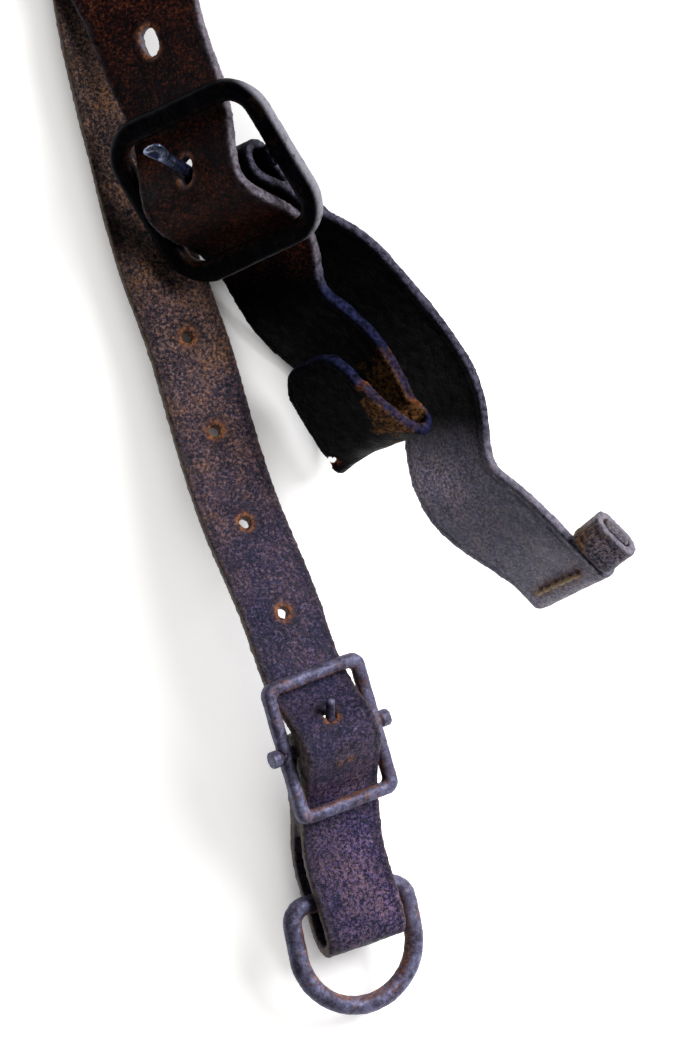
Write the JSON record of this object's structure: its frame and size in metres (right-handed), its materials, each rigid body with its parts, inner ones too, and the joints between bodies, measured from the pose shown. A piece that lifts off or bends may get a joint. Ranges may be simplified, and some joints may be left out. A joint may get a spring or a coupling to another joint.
{
  "type": "buckled harness strap assembly",
  "caption": "Old leather harness straps with a large iron buckle, a small iron buckle and a D-ring in the lower loop.",
  "frame": {"origin": "centre of the D-ring's eye", "axes": "+Y up the straps towards their riveted ends, +X across them, +Z off the plane they lie on"},
  "size_m": [0.1638, 0.32, 0.0457],
  "materials": {
    "strap_leather": "worn, oiled, grainy",
    "keeper_leather": "worn",
    "black_iron": "smooth black, worn edges",
    "worn_iron": "hammered, bright from wear",
    "patina_iron": "blue-gray patina with rust",
    "copper": "dulled copper",
    "thread": "waxed linen thread"
  },
  "bodies": {
    "straps": {"narrow_strap": "strap_leather", "wide_strap": "strap_leather", "join_rivets": "copper", "join_burrs": "copper", "loop_stitches": "thread"},
    "big_buckle": {"big_buckle_frame": "black_iron", "big_buckle_bar": "black_iron"},
    "big_tongue": {"big_buckle_tongue": "worn_iron"},
    "curled": {"curled_strap": "strap_leather", "chape_stitches": "thread", "end_stitches": "thread", "end_keeper": "keeper_leather"},
    "small_buckle": {"small_buckle_frame": "patina_iron", "small_buckle_bar": "patina_iron"},
    "small_tongue": {"small_buckle_tongue": "patina_iron"},
    "ring": {"d_ring": "patina_iron"}
  },
  "joints": [
    {"name": "big_buckle_rock", "type": "hinge", "parent": "straps", "child": "big_buckle", "pos_m": [-0.0356, 0.1949, 0.0194], "axis": [0.7606, 0.3438, 0.5507], "range_deg": [-1, 2]},
    {"name": "big_tongue_lift", "type": "hinge", "parent": "big_buckle", "child": "big_tongue", "pos_m": [-0.0356, 0.1949, 0.0194], "axis": [0.7606, 0.3438, 0.5507], "range_deg": [-3, 3]},
    {"name": "curled_strap_swing", "type": "hinge", "parent": "big_buckle", "child": "curled", "pos_m": [-0.0356, 0.1949, 0.0194], "axis": [0.7606, 0.3438, 0.5507], "range_deg": [0, 25]},
    {"name": "small_buckle_rock", "type": "hinge", "parent": "straps", "child": "small_buckle", "pos_m": [-0.0067, 0.0527, 0.016], "axis": [0.851, 0.3204, -0.4162], "range_deg": [-1, 2]},
    {"name": "small_tongue_lift", "type": "hinge", "parent": "small_buckle", "child": "small_tongue", "pos_m": [-0.0067, 0.0527, 0.016], "axis": [0.851, 0.3204, -0.4162], "range_deg": [-1, 1.5]},
    {"name": "ring_swing", "type": "hinge", "parent": "straps", "child": "ring", "pos_m": [-0.00242, 0.01244, 0.00178], "axis": [0.9133, 0.226, -0.3387], "range_deg": [-75, 75]}
  ]
}
